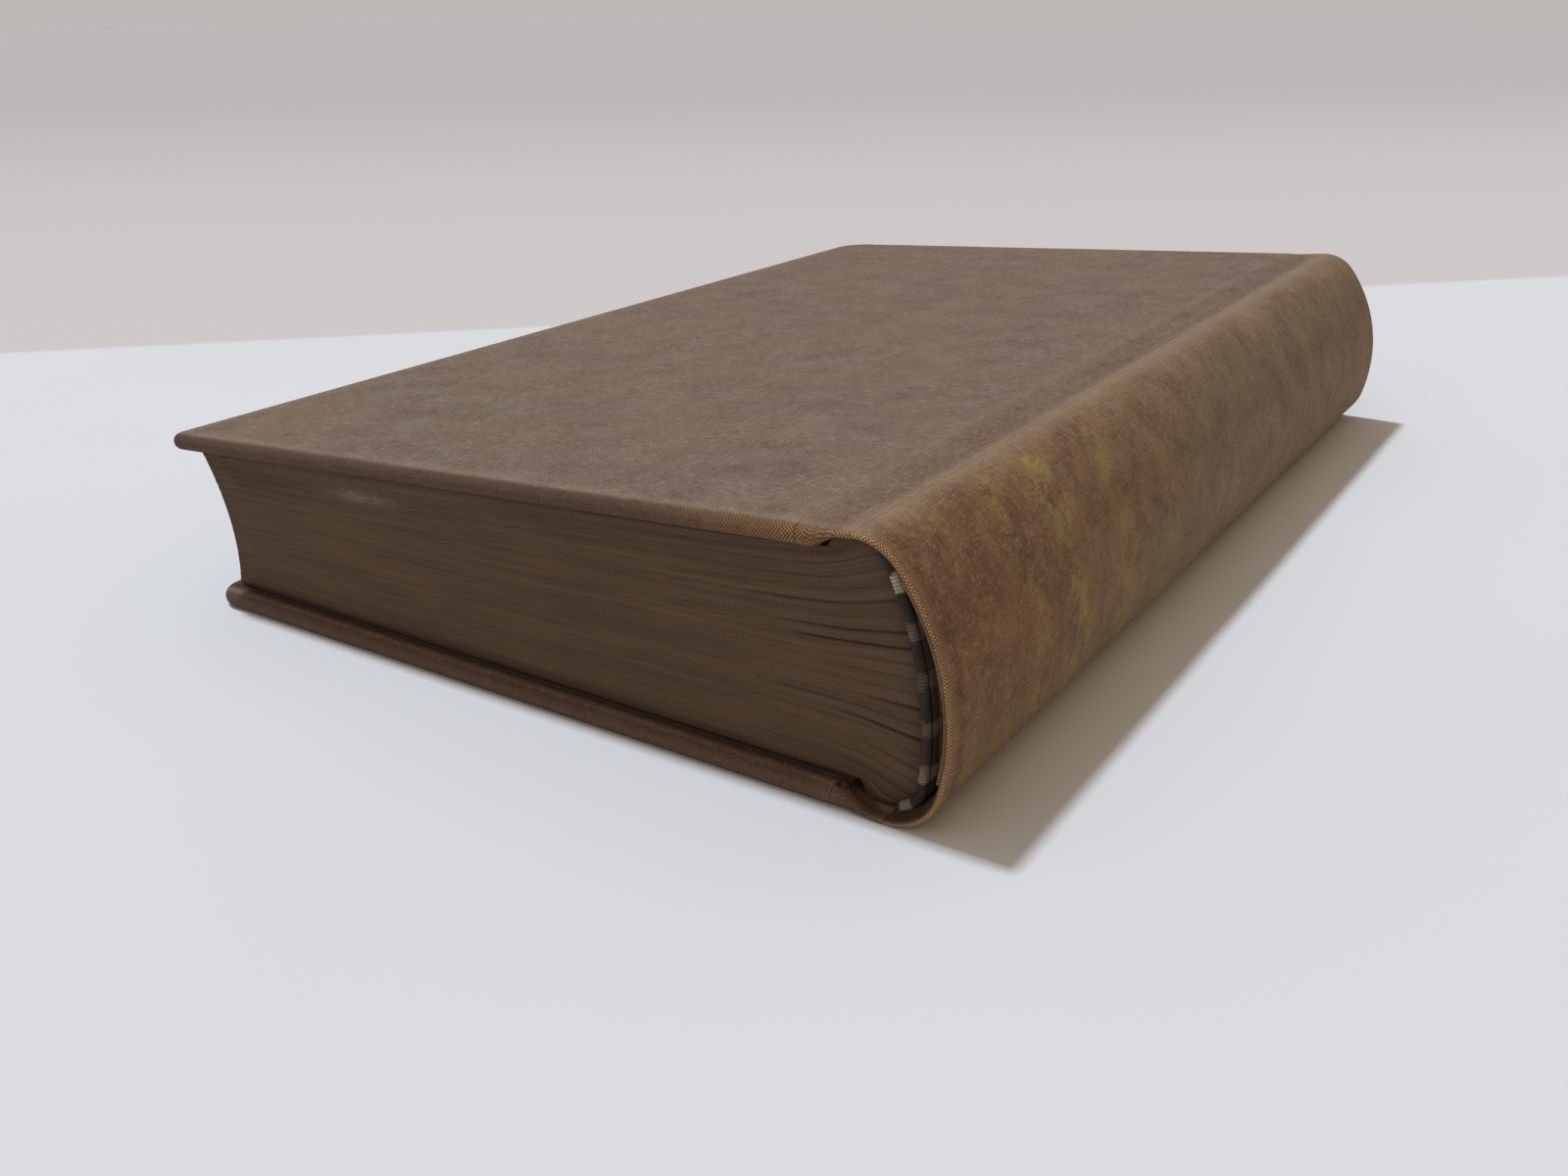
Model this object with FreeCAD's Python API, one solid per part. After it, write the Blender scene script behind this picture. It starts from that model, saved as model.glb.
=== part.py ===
import FreeCAD, Part
import math
import os

# A cloth-bound hardback book lying closed on its back cover, in millimetres.
# X runs from the fore edge to the spine, Y from head to tail, Z from the back cover up to the front.
# The book is a little cocked: its spine is thicker than its fore edge, and its back cover stands
# nearer the spine side than its front cover does.

# Closed book
COVER_HEIGHT = 195.0            # head to tail, over the cloth
COVER_REACH = 111.3             # fore edge of a cover to the line that it hinges about
RIDGE_REACH = 3.7               # hinge line to the crest of the spine's shoulder
SPINE_THICKNESS = 33.4          # over both covers at the shoulder crests
FORE_EDGE_THICKNESS = 25.6      # over both covers at the fore edge
LEAN = 4.5                      # how far the back cover is pushed towards the spine
SPINE_SWELL = 9.4               # how far the round spine stands out past its shoulders
CROWN_RADIUS = 7.0              # rounding of the shoulder crests

# Covers
CLOTH_THICKNESS = 0.4
BOARD_THICKNESS = 1.6
BOARD_CORNER_RADIUS = 1.2
BOARD_TO_HINGE = 3.3            # bare cloth between a board's back edge and the hinge line
TURN_IN = 15.0                  # cloth folded over onto the inside of a board
GROOVE_DEPTH = 0.6
GROOVE_FLOOR = 0.5              # flat bottom of the groove on each side of the hinge line
CLOTH_END_GAP = 0.2             # each cloth stops this far from the hinge line
HINGE_RISE = 0.15               # hinge line outside the cover's outer face

# Endpapers and the cloth hinge that they hide
PAPER_THICKNESS = 0.15
OPENING_CLEARANCE = 0.3         # pasted-down leaf to free leaf, closed
FREE_LEAF_TO_HINGE = 1.7
FLAP_WIDTH = 22.0
FLAP_THICKNESS = 0.3
FLAP_END_MARGIN = 14.0          # flap to the head and tail of the cover

# Text block
SQUARE = 3.0                    # covers past the text block at head, tail and fore edge
FORE_EDGE_HOLLOW = 2.0
SHOULDER_RUN = 1.3              # sloping side of the shoulder, along the cover
SHOULDER_RADIUS = 4.0           # rounding of the edges of the back
SECTION_COUNT = 20
FOLD_DEPTH = 0.25               # how far the folds of the sections stand out along the back

# Spine, from the cloth inwards
INLAY_THICKNESS = 0.7
INLAY_SIDE_MARGIN = 1.5         # inlay to the tangent points of the spine's arc
SPINE_TURN_IN = 12.0
HOLLOW = 1.6                    # air between the case and the back of the block
LINING_THICKNESS = 0.2
LINING_END_MARGIN = 1.0
MULL_THICKNESS = 0.3
MULL_TO_TONGUE = 1.0
LINING_SIDE_MARGIN = 2.0        # linings to the edges of the shoulders

# Endbands
BEAD_RADIUS = 0.8
BEAD_SEAT = 0.15                # flat that the bead sits on, as depth of its round
BEAD_INSET = 0.5                # centre of the bead inside the back of the block
TONGUE_LENGTH = 11.0            # cloth of the band, glued down the back of the block

# Worked out from the sizes above
HALF_HEIGHT = COVER_HEIGHT / 2
RIDGE_U = COVER_REACH + RIDGE_REACH
SLOPE = math.asin((SPINE_THICKNESS - FORE_EDGE_THICKNESS) / RIDGE_U)
BOARD_BACK_EDGE = COVER_REACH - BOARD_TO_HINGE
TURN_IN_DEPTH = CLOTH_THICKNESS + BOARD_THICKNESS
LEAF_DEPTH = TURN_IN_DEPTH + CLOTH_THICKNESS + PAPER_THICKNESS + OPENING_CLEARANCE
BLOCK_DEPTH = LEAF_DEPTH + PAPER_THICKNESS
BLOCK_HALF_HEIGHT = HALF_HEIGHT - SQUARE
SHELF_DEPTH = GROOVE_DEPTH + CLOTH_THICKNESS
BEND_START = COVER_REACH + CLOTH_END_GAP + GROOVE_FLOOR
CASE_STACK = CLOTH_THICKNESS + INLAY_THICKNESS + CLOTH_THICKNESS
BACK_STACK = CASE_STACK + HOLLOW + LINING_THICKNESS + MULL_THICKNESS


def unit(vector):
    """The vector at length one."""
    return vector * (1 / vector.Length)


def front(u, depth):
    """Point at u from the front cover's fore edge and a depth below its outer face."""
    x = u * math.cos(SLOPE) + depth * math.sin(SLOPE)
    z = FORE_EDGE_THICKNESS + u * math.sin(SLOPE) - depth * math.cos(SLOPE)
    return FreeCAD.Vector(x, 0, z)


def back(u, depth):
    """Point at u from the back cover's fore edge and a depth above its outer face."""
    return FreeCAD.Vector(LEAN + u, 0, depth)


def place_front(shape):
    """Turn a cover part modelled outer face down at z = 0 into the front cover's place."""
    origin = FreeCAD.Vector(0, 0, 0)
    shape = shape.mirror(origin, FreeCAD.Vector(0, 0, 1))
    shape.rotate(origin, FreeCAD.Vector(0, 1, 0), -math.degrees(SLOPE))
    shape.translate(front(0, 0))
    return shape


def place_back(shape):
    """Move a cover part modelled outer face down at z = 0 into the back cover's place."""
    shape = shape.copy()
    shape.translate(back(0, 0))
    return shape


def slab(u0, u1, half_y, depth0, depth1):
    """Box over a stretch of u, even about the middle of the height, between two depths."""
    corner = FreeCAD.Vector(u0, -half_y, depth0)
    return Part.makeBox(u1 - u0, 2 * half_y, depth1 - depth0, corner)


def rounded_slab(u0, u1, half_y, depth0, depth1, radius):
    """Slab with its two fore-edge corners rounded."""
    solid = slab(u0, u1, half_y, depth0, depth1)
    corners = [edge for edge in solid.Edges
               if abs(edge.Vertexes[0].X - u0) < 1e-6
               and abs(edge.Vertexes[1].X - u0) < 1e-6
               and abs(edge.Vertexes[0].Y - edge.Vertexes[1].Y) < 1e-6]
    return solid.makeFillet(radius, corners)


def s_bend(start, end, along, outward):
    """Two equal arcs from start to end, both ends parallel to along, rising outward."""
    step = end - start
    run = step.dot(along)
    rise = step.dot(outward)
    radius = (run * run + rise * rise) / (4 * abs(rise))
    middle = start + step * 0.5
    arcs = []
    for foot, towards in ((start, 1), (end, -1)):
        centre = foot + outward * (towards * math.copysign(radius, rise))
        crown = centre + unit((foot + middle) * 0.5 - centre) * radius
        arcs.append((foot, crown, middle))
    first, second = arcs
    return [Part.Arc(*first).toShape(), Part.Arc(second[2], second[1], second[0]).toShape()]


def extrude_y(face, half_y):
    """Solid of a section drawn at y = 0, even about the middle of the height."""
    solid = face.extrude(FreeCAD.Vector(0, 2 * half_y, 0))
    solid.translate(FreeCAD.Vector(0, -half_y, 0))
    return solid


class RoundBack:
    """Arc round the back of the book, bulging a swell past the middle of two points at its sides."""

    def __init__(self, front_side, back_side, swell, side_radius=0.0):
        """With a side radius, the arc is tangent to circles of that size round the two points."""
        chord = back_side - front_side
        half = chord.Length / 2
        outward = unit(FreeCAD.Vector(-chord.z, 0, chord.x))
        self.radius = (swell ** 2 + half ** 2 - side_radius ** 2) / (2 * (swell - side_radius))
        self.centre = (front_side + back_side) * 0.5 + outward * (swell - self.radius)
        self.high = self.angle_of(front_side)
        self.low = self.angle_of(back_side)

    def at(self, angle, radius=None):
        """Point at an angle above the horizontal as seen from the centre, on the arc by default."""
        direction = FreeCAD.Vector(math.cos(angle), 0, math.sin(angle))
        return self.centre + direction * (self.radius if radius is None else radius)

    def angle_of(self, point):
        """Angle above the horizontal of a point, as seen from the centre."""
        offset = point - self.centre
        return math.atan2(offset.z, offset.x)

    def band(self, outer, inner, margin, y0, y1):
        """Layer between two heights over the arc, short of its ends by a margin, from y0 to y1."""
        low = self.low + margin / self.radius
        high = self.high - margin / self.radius
        middle = (low + high) / 2
        far = self.radius + outer
        near = self.radius + inner
        far_arc = Part.Arc(self.at(low, far), self.at(middle, far), self.at(high, far)).toShape()
        near_arc = Part.Arc(self.at(low, near), self.at(middle, near), self.at(high, near)).toShape()
        sides = [Part.makeLine(self.at(angle, far), self.at(angle, near)) for angle in (low, high)]
        wire = Part.Wire(Part.__sortEdges__([far_arc, near_arc] + sides))
        solid = Part.Face(wire).extrude(FreeCAD.Vector(0, y1 - y0, 0))
        solid.translate(FreeCAD.Vector(0, y0, 0))
        return solid


CASE = RoundBack(front(RIDGE_U, CROWN_RADIUS), back(RIDGE_U, CROWN_RADIUS), SPINE_SWELL, CROWN_RADIUS)
BLOCK = RoundBack(front(RIDGE_U, SHELF_DEPTH + SHOULDER_RADIUS),
                  back(RIDGE_U, SHELF_DEPTH + SHOULDER_RADIUS),
                  SPINE_SWELL - BACK_STACK, SHOULDER_RADIUS)
OVERALL_WIDTH = CASE.centre.x + CASE.radius
ALONG_FRONT = unit(front(1, 0) - front(0, 0))
OUT_OF_FRONT = unit(front(0, 0) - front(0, 1))
ALONG_BACK = FreeCAD.Vector(1, 0, 0)
OUT_OF_BACK = FreeCAD.Vector(0, 0, -1)


def cover_board():
    """Millboard of one cover, its two outer corners worn round."""
    return rounded_slab(CLOTH_THICKNESS, BOARD_BACK_EDGE, HALF_HEIGHT - CLOTH_THICKNESS,
                        CLOTH_THICKNESS, TURN_IN_DEPTH, BOARD_CORNER_RADIUS)


def joint_strip():
    """Cloth from a board's back edge down into the groove, short of the hinge line."""
    along = FreeCAD.Vector(1, 0, 0)
    inward = FreeCAD.Vector(0, 0, 1)
    edge = FreeCAD.Vector(BOARD_BACK_EDGE, 0, 0)
    floor = FreeCAD.Vector(COVER_REACH - GROOVE_FLOOR - CLOTH_END_GAP, 0, GROOVE_DEPTH)
    end = FreeCAD.Vector(COVER_REACH - CLOTH_END_GAP, 0, GROOVE_DEPTH)
    path = Part.Wire(s_bend(edge, floor, along, inward) + [Part.makeLine(floor, end)])
    return extrude_y(cloth_section(path, FreeCAD.Vector(0, 0, CLOTH_THICKNESS)), HALF_HEIGHT)


def cloth_section(path, inward):
    """Section of cloth that has a path as its outer line. inward is its thickness at the start."""
    start = path.OrderedVertexes[0].Point
    for side in (CLOTH_THICKNESS, -CLOTH_THICKNESS):
        inner = path.makeOffset2D(side, 0, False, True)
        near = min((vertex.Point - start - inward).Length for vertex in inner.Vertexes)
        if near < CLOTH_THICKNESS / 10:
            break
    ends = [path.OrderedVertexes[0].Point, path.OrderedVertexes[-1].Point]
    closing = []
    for point in ends:
        nearest = min((vertex.Point for vertex in inner.Vertexes), key=lambda other: (other - point).Length)
        closing.append(Part.makeLine(point, nearest))
    edges = path.Edges + inner.Edges + closing
    return Part.Face(Part.Wire(Part.__sortEdges__(edges)))


def cover_cloth():
    """Cloth of one cover: outer face, the fold round three edges, the turn-ins and the joint strip."""
    whole = rounded_slab(0, BOARD_BACK_EDGE, HALF_HEIGHT, 0, TURN_IN_DEPTH + CLOTH_THICKNESS,
                         BOARD_CORNER_RADIUS + CLOTH_THICKNESS)
    window = slab(TURN_IN, BOARD_BACK_EDGE, HALF_HEIGHT - TURN_IN,
                  TURN_IN_DEPTH, TURN_IN_DEPTH + CLOTH_THICKNESS)
    return whole.cut(cover_board()).cut(window).fuse(joint_strip()).removeSplitter()


def hinge_flap():
    """Open-weave cloth from the back of the block, glued to the inside of a board."""
    return slab(BOARD_BACK_EDGE - FLAP_WIDTH, BOARD_BACK_EDGE, HALF_HEIGHT - TURN_IN - FLAP_END_MARGIN,
                TURN_IN_DEPTH, TURN_IN_DEPTH + FLAP_THICKNESS)


def pasted_leaf():
    """Endpaper pasted over the turn-ins, the bare board and the flap, so that their edges show in it."""
    top = TURN_IN_DEPTH + CLOTH_THICKNESS
    over_flap = TURN_IN_DEPTH + FLAP_THICKNESS
    half_window = HALF_HEIGHT - TURN_IN
    half_flap = half_window - FLAP_END_MARGIN
    flap_start = BOARD_BACK_EDGE - FLAP_WIDTH
    leaf = slab(SQUARE, BOARD_BACK_EDGE, BLOCK_HALF_HEIGHT, TURN_IN_DEPTH, top + PAPER_THICKNESS)
    window = slab(TURN_IN, BOARD_BACK_EDGE, half_window, TURN_IN_DEPTH, top)
    under_turn_ins = slab(SQUARE, BOARD_BACK_EDGE, BLOCK_HALF_HEIGHT, TURN_IN_DEPTH, top).cut(window)
    pocket = slab(TURN_IN + PAPER_THICKNESS, BOARD_BACK_EDGE, half_window - PAPER_THICKNESS,
                  TURN_IN_DEPTH + PAPER_THICKNESS, top + PAPER_THICKNESS)
    flap_cover = slab(flap_start - PAPER_THICKNESS, BOARD_BACK_EDGE, half_flap + PAPER_THICKNESS,
                      TURN_IN_DEPTH, over_flap + PAPER_THICKNESS)
    return leaf.cut(under_turn_ins).cut(pocket.cut(flap_cover)).cut(hinge_flap())


def free_leaf():
    """First or last leaf of the block, of endpaper."""
    return slab(SQUARE, COVER_REACH - FREE_LEAF_TO_HINGE, BLOCK_HALF_HEIGHT, LEAF_DEPTH, BLOCK_DEPTH)


def round_over(place, depth, radius, end):
    """Arc that leaves a cover's plane at the shoulder line and a depth, and turns round to the end."""
    start = place(RIDGE_U, depth)
    centre = place(RIDGE_U, depth + radius)
    middle = centre + unit(unit(start - centre) + unit(end - centre)) * radius
    return Part.Arc(start, middle, end).toShape()


def block_side(place):
    """Line of one side of the text block, from its fore edge over its shoulder to the round edge."""
    shelf_start = COVER_REACH + CLOTH_END_GAP
    return [place(SQUARE, BLOCK_DEPTH),
            place(shelf_start - SHOULDER_RUN, BLOCK_DEPTH),
            place(shelf_start, SHELF_DEPTH),
            place(RIDGE_U, SHELF_DEPTH)]


def text_block():
    """All leaves as one solid, rounded and backed, with a hollow fore edge and fluted back."""
    front_line = block_side(front)
    back_line = block_side(back)
    fore_middle = (front_line[0] + back_line[0]) * 0.5 + FreeCAD.Vector(FORE_EDGE_HOLLOW, 0, 0)
    edges = [Part.makeLine(a, b) for line in (front_line, back_line) for a, b in zip(line, line[1:])]
    edges.append(Part.Arc(front_line[0], fore_middle, back_line[0]).toShape())
    edges.append(round_over(front, SHELF_DEPTH, SHOULDER_RADIUS, BLOCK.at(BLOCK.high)))
    edges.append(round_over(back, SHELF_DEPTH, SHOULDER_RADIUS, BLOCK.at(BLOCK.low)))
    edges += section_folds()
    wire = Part.Wire(Part.__sortEdges__(edges))
    return extrude_y(Part.Face(wire), BLOCK_HALF_HEIGHT)


def section_folds():
    """Rounded folds of the sewn sections side by side along the back of the block."""
    step = (BLOCK.high - BLOCK.low) / SECTION_COUNT
    angles = [BLOCK.low + index * step for index in range(SECTION_COUNT + 1)]
    valleys = [BLOCK.at(angle, BLOCK.radius - FOLD_DEPTH) for angle in angles]
    valleys[0] = BLOCK.at(BLOCK.low)
    valleys[-1] = BLOCK.at(BLOCK.high)
    folds = []
    for index in range(SECTION_COUNT):
        crest = BLOCK.at(angles[index] + step / 2)
        folds.append(Part.Arc(valleys[index], crest, valleys[index + 1]).toShape())
    return folds


def spine_path():
    """Outer line of the spine cloth, from groove to groove round the back."""
    edges = [Part.Arc(CASE.at(CASE.low), CASE.at((CASE.low + CASE.high) / 2), CASE.at(CASE.high)).toShape()]
    for place, along, outward, angle in ((front, ALONG_FRONT, OUT_OF_FRONT, CASE.high),
                                         (back, ALONG_BACK, OUT_OF_BACK, CASE.low)):
        end = place(COVER_REACH + CLOTH_END_GAP, GROOVE_DEPTH)
        floor = place(BEND_START, GROOVE_DEPTH)
        edges.append(Part.makeLine(end, floor))
        edges += s_bend(floor, place(RIDGE_U, 0), along, outward)
        edges.append(round_over(place, 0, CROWN_RADIUS, CASE.at(angle)))
    return Part.Wire(Part.__sortEdges__(edges))


def spine_inlay():
    """Strip of stiff paper that shapes the spine of the case."""
    half = HALF_HEIGHT - CLOTH_THICKNESS
    return CASE.band(-CLOTH_THICKNESS, -CLOTH_THICKNESS - INLAY_THICKNESS, INLAY_SIDE_MARGIN, -half, half)


def spine_cloth():
    """Cloth round the spine, folded over the inlay at head and tail."""
    path = spine_path()
    start = path.OrderedVertexes[0].Point
    outward = OUT_OF_BACK if start.z < SPINE_THICKNESS / 2 else OUT_OF_FRONT
    solid = extrude_y(cloth_section(path, outward * -CLOTH_THICKNESS), HALF_HEIGHT)
    for end in (-1, 1):
        y0, y1 = sorted((end * HALF_HEIGHT, end * (HALF_HEIGHT - SPINE_TURN_IN)))
        solid = solid.fuse(CASE.band(-CLOTH_THICKNESS, -CASE_STACK, INLAY_SIDE_MARGIN, y0, y1))
    return solid.cut(spine_inlay()).removeSplitter()


def spine_mull():
    """Open-weave cloth glued to the folds, between the tongues of the two endbands."""
    half = BLOCK_HALF_HEIGHT - TONGUE_LENGTH - MULL_TO_TONGUE
    return BLOCK.band(MULL_THICKNESS, 0, LINING_SIDE_MARGIN, -half, half)


def spine_lining():
    """Paper over the open-weave cloth and the tongues of the endbands."""
    half = BLOCK_HALF_HEIGHT - LINING_END_MARGIN
    outer = MULL_THICKNESS + LINING_THICKNESS
    return BLOCK.band(outer, MULL_THICKNESS, LINING_SIDE_MARGIN, -half, half)


def endband(end):
    """Striped band: a bead round the end of the block and a tongue glued down its back."""
    y_end = end * BLOCK_HALF_HEIGHT
    y_bead = y_end + end * (BEAD_RADIUS - BEAD_SEAT)
    margin = LINING_SIDE_MARGIN / BLOCK.radius
    low = BLOCK.low + margin
    high = BLOCK.high - margin
    origin = FreeCAD.Vector(0, 0, 0)
    head_to_tail = FreeCAD.Vector(0, 1, 0)
    start = FreeCAD.Vector(BLOCK.radius - BEAD_INSET, y_bead, 0)
    disc = Part.Face(Part.Wire(Part.makeCircle(BEAD_RADIUS, start, FreeCAD.Vector(0, 0, 1))))
    bead = disc.revolve(origin, head_to_tail, -math.degrees(high - low))
    bead.rotate(origin, head_to_tail, -math.degrees(low))
    bead.translate(BLOCK.centre)
    y0, y1 = sorted((y_bead, y_end - end * TONGUE_LENGTH))
    tongue = BLOCK.band(MULL_THICKNESS, 0, LINING_SIDE_MARGIN, y0, y1)
    return bead.fuse(tongue).cut(text_block()).removeSplitter()


def parts():
    """Every node's name and its solid, in the section's own frame."""
    nodes = {
        "text_block": text_block(),
        "spine_cloth": spine_cloth(),
        "spine_inlay": spine_inlay(),
        "spine_mull": spine_mull(),
        "spine_lining": spine_lining(),
        "headband": endband(-1),
        "tailband": endband(1),
    }
    for side, place in (("front", place_front), ("back", place_back)):
        nodes[side + "_board"] = place(cover_board())
        nodes[side + "_cover_cloth"] = place(cover_cloth())
        nodes[side + "_hinge_flap"] = place(hinge_flap())
        nodes[side + "_pasted_leaf"] = place(pasted_leaf())
        nodes[side + "_free_leaf"] = place(free_leaf())
    return nodes


def main():
    """Write every node, with the middle of the closed book's underside at the origin."""
    os.makedirs("parts", exist_ok=True)
    for name, shape in parts().items():
        shape.translate(FreeCAD.Vector(-OVERALL_WIDTH / 2, 0, 0))
        shape.exportStep("parts/" + name + ".step")
        box = shape.BoundBox
        print(name, "valid" if shape.isValid() else "INVALID", len(shape.Solids), "solids",
              "volume", round(shape.Volume, 1),
              "x", round(box.XMin, 2), round(box.XMax, 2),
              "y", round(box.YMin, 2), round(box.YMax, 2),
              "z", round(box.ZMin, 2), round(box.ZMax, 2))
    for name, point in (("front hinge", front(COVER_REACH, -HINGE_RISE)),
                        ("back hinge", back(COVER_REACH, -HINGE_RISE))):
        print(name, round(point.x - OVERALL_WIDTH / 2, 3), round(point.z, 3))
    for name, arc in (("case back", CASE), ("block back", BLOCK)):
        print(name, "centre", round(arc.centre.x - OVERALL_WIDTH / 2, 3), round(arc.centre.z, 3),
              "radius", round(arc.radius, 3), "from", round(arc.low, 4), "to", round(arc.high, 4))
    print("slope of the front cover", round(math.degrees(SLOPE), 3))


main()
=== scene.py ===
"""An old cloth-bound hardback book, lying closed on its back cover.

Lengths are written in millimetres and turned into metres as they go into a mesh. X runs from the
fore edge to the spine, Y from the head to the tail, Z from the back cover up to the front cover.
"""

import math

import bmesh
import bpy
import numpy as np
from mathutils import Matrix


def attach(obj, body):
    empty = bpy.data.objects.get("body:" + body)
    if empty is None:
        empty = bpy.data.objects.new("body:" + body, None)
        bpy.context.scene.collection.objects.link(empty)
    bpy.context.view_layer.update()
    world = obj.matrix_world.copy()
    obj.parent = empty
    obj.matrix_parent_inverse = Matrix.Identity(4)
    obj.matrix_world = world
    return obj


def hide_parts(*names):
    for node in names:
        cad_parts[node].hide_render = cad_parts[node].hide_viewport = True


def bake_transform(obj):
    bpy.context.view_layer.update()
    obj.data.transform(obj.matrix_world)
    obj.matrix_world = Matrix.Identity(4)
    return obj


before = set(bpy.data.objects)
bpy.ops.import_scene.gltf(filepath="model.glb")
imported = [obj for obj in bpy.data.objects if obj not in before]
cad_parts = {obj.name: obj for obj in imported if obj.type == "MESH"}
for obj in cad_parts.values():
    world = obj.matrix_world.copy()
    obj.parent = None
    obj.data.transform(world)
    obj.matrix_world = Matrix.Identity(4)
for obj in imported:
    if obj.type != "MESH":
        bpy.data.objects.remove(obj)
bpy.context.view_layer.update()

MM = 0.001
TAU = 2 * math.pi

# The closed book, as the solids have it
COVER_HEIGHT = 195.0
COVER_REACH = 111.3
RIDGE_REACH = 3.7
SPINE_THICKNESS = 33.4
FORE_EDGE_THICKNESS = 25.6
LEAN = 4.5
SPINE_SWELL = 9.4
CROWN_RADIUS = 7.0
CLOTH = 0.4
BOARD = 1.6
BOARD_TO_HINGE = 3.3
TURN_IN = 15.0
GROOVE_DEPTH = 0.6
GROOVE_HALF = 0.7
PAPER = 0.15
OPENING_CLEARANCE = 0.3
SQUARE = 3.0
INLAY = 0.7
SPINE_TURN_IN = 12.0
HOLLOW = 1.6
LININGS = 0.5
FORE_EDGE_HOLLOW = 2.0
SHOULDER_RUN = 1.3
SHOULDER_RADIUS = 4.0
SECTION_COUNT = 20
FOLD_DEPTH = 0.25
FLAP_WIDTH = 22.0
FLAP = 0.3
FLAP_HALF = 68.5
TONGUE_LENGTH = 11.0

HALF = COVER_HEIGHT / 2
BLOCK_HALF = HALF - SQUARE
RIDGE_U = COVER_REACH + RIDGE_REACH
SLOPE = math.asin((SPINE_THICKNESS - FORE_EDGE_THICKNESS) / RIDGE_U)
COVER_THICKNESS = BOARD + 2 * CLOTH
BOARD_BACK_EDGE = COVER_REACH - BOARD_TO_HINGE
GROOVE_FROM = COVER_REACH - GROOVE_HALF
GROOVE_TO = COVER_REACH + GROOVE_HALF
FLAP_START = BOARD_BACK_EDGE - FLAP_WIDTH
WINDOW_HALF = HALF - TURN_IN
LEAF_DEPTH = COVER_THICKNESS + PAPER + OPENING_CLEARANCE
BLOCK_DEPTH = LEAF_DEPTH + PAPER
SHELF_DEPTH = GROOVE_DEPTH + CLOTH
SHELF_START = COVER_REACH + 0.2
CASE_STACK = 2 * CLOTH + INLAY
LEAF_LENGTH = RIDGE_U - SQUARE

# Soft edges of the covers
EDGE_RADIUS = 1.15
LIP_THICKNESS = 0.7
WALL_COLUMNS = 13


def ease(t):
    """Smooth step of t from 0 to 1."""
    t = np.clip(t, 0, 1)
    return t * t * (3 - 2 * t)


def unit(vector):
    """Vectors divided by their lengths."""
    return vector / np.linalg.norm(vector, axis=-1, keepdims=True)


def stations(*spans):
    """Rising values from spans of (start, end, steps) that share their ends."""
    return np.unique(np.round(np.concatenate([np.linspace(a, b, n + 1) for a, b, n in spans]), 6))


def ripple(seed, scale, *where):
    """Slow seeded unevenness: a sum of sine waves with random directions and phases, about -1 to 1."""
    rng = np.random.default_rng(seed)
    total = 0
    for size in (1.0, 0.55, 0.3):
        for _ in range(3):
            direction = rng.normal(size=len(where))
            direction /= np.linalg.norm(direction)
            wave = sum(part * value for part, value in zip(direction, where))
            total = total + size * np.sin(TAU * wave / (scale * size) + rng.uniform(0, TAU))
    return total / 3.2


def both_faces(first, second):
    """Columns of a loop that runs along one face and comes back along the other."""
    return np.concatenate([first, second[:, ::-1]], axis=1)


# Places in the frame. u is the distance from a cover's fore edge, depth the distance inside its face.

def front_section(u, depth):
    """x and z of a point of the front cover: u along its slope, depth square to it, downwards."""
    u, depth = np.broadcast_arrays(u, depth)
    x = u * math.cos(SLOPE) + depth * math.sin(SLOPE)
    z = FORE_EDGE_THICKNESS + u * math.sin(SLOPE) - depth * math.cos(SLOPE)
    return np.stack([x - HALF_WIDTH, z], axis=-1)


def back_section(u, depth):
    """x and z of a point of the back cover: u along X, depth upwards."""
    u, depth = np.broadcast_arrays(u, depth)
    return np.stack([LEAN + u - HALF_WIDTH, depth], axis=-1)


class RoundBack:
    """Line round the back of the book: two round edges joined by an arc that is tangent to both.

    The round edges leave the covers' planes at a depth; the arc bulges a swell past their centres.
    """

    def __init__(self, depth, edge_radius, swell):
        self.edge_radius = edge_radius
        self.front_edge = front_section(RIDGE_U, depth + edge_radius)
        self.back_edge = back_section(RIDGE_U, depth + edge_radius)
        chord = self.back_edge - self.front_edge
        half = np.linalg.norm(chord) / 2
        outward = np.array([-chord[1], chord[0]]) / (2 * half)
        self.radius = (swell ** 2 + half ** 2 - edge_radius ** 2) / (2 * (swell - edge_radius))
        self.centre = (self.front_edge + self.back_edge) / 2 + outward * (swell - self.radius)
        self.high = math.atan2(*(self.front_edge - self.centre)[::-1])
        self.low = math.atan2(*(self.back_edge - self.centre)[::-1])

    def line(self, edge_steps, arc_steps):
        """Points of the line from front to back, their outward directions and the walk along it."""
        front_turn = np.linspace(math.pi / 2 + SLOPE, self.high, edge_steps + 1)
        arc_turn = np.linspace(self.high, self.low, arc_steps + 1)[1:]
        back_turn = np.linspace(self.low, -math.pi / 2, edge_steps + 1)[1:]
        runs = [(centre, radius, np.stack([np.cos(turn), np.sin(turn)], axis=-1))
                for centre, radius, turn in ((self.front_edge, self.edge_radius, front_turn),
                                             (self.centre, self.radius, arc_turn),
                                             (self.back_edge, self.edge_radius, back_turn))]
        way = np.concatenate([direction for _, _, direction in runs])
        points = np.concatenate([centre + radius * direction for centre, radius, direction in runs])
        walk = np.concatenate([[0], np.cumsum(np.linalg.norm(np.diff(points, axis=0), axis=1))])
        return points, way, walk


def backs():
    """The arcs of the case and of the block, worked out from the section as the solids are."""
    return (RoundBack(0, CROWN_RADIUS, SPINE_SWELL),
            RoundBack(SHELF_DEPTH, SHOULDER_RADIUS, SPINE_SWELL - CASE_STACK - HOLLOW - LININGS))


# The arcs are first worked out from the fore edge, then again about the middle of the width
HALF_WIDTH = 0.0
HALF_WIDTH = (backs()[0].centre[0] + backs()[0].radius) / 2
CASE, BLOCK = backs()


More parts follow.
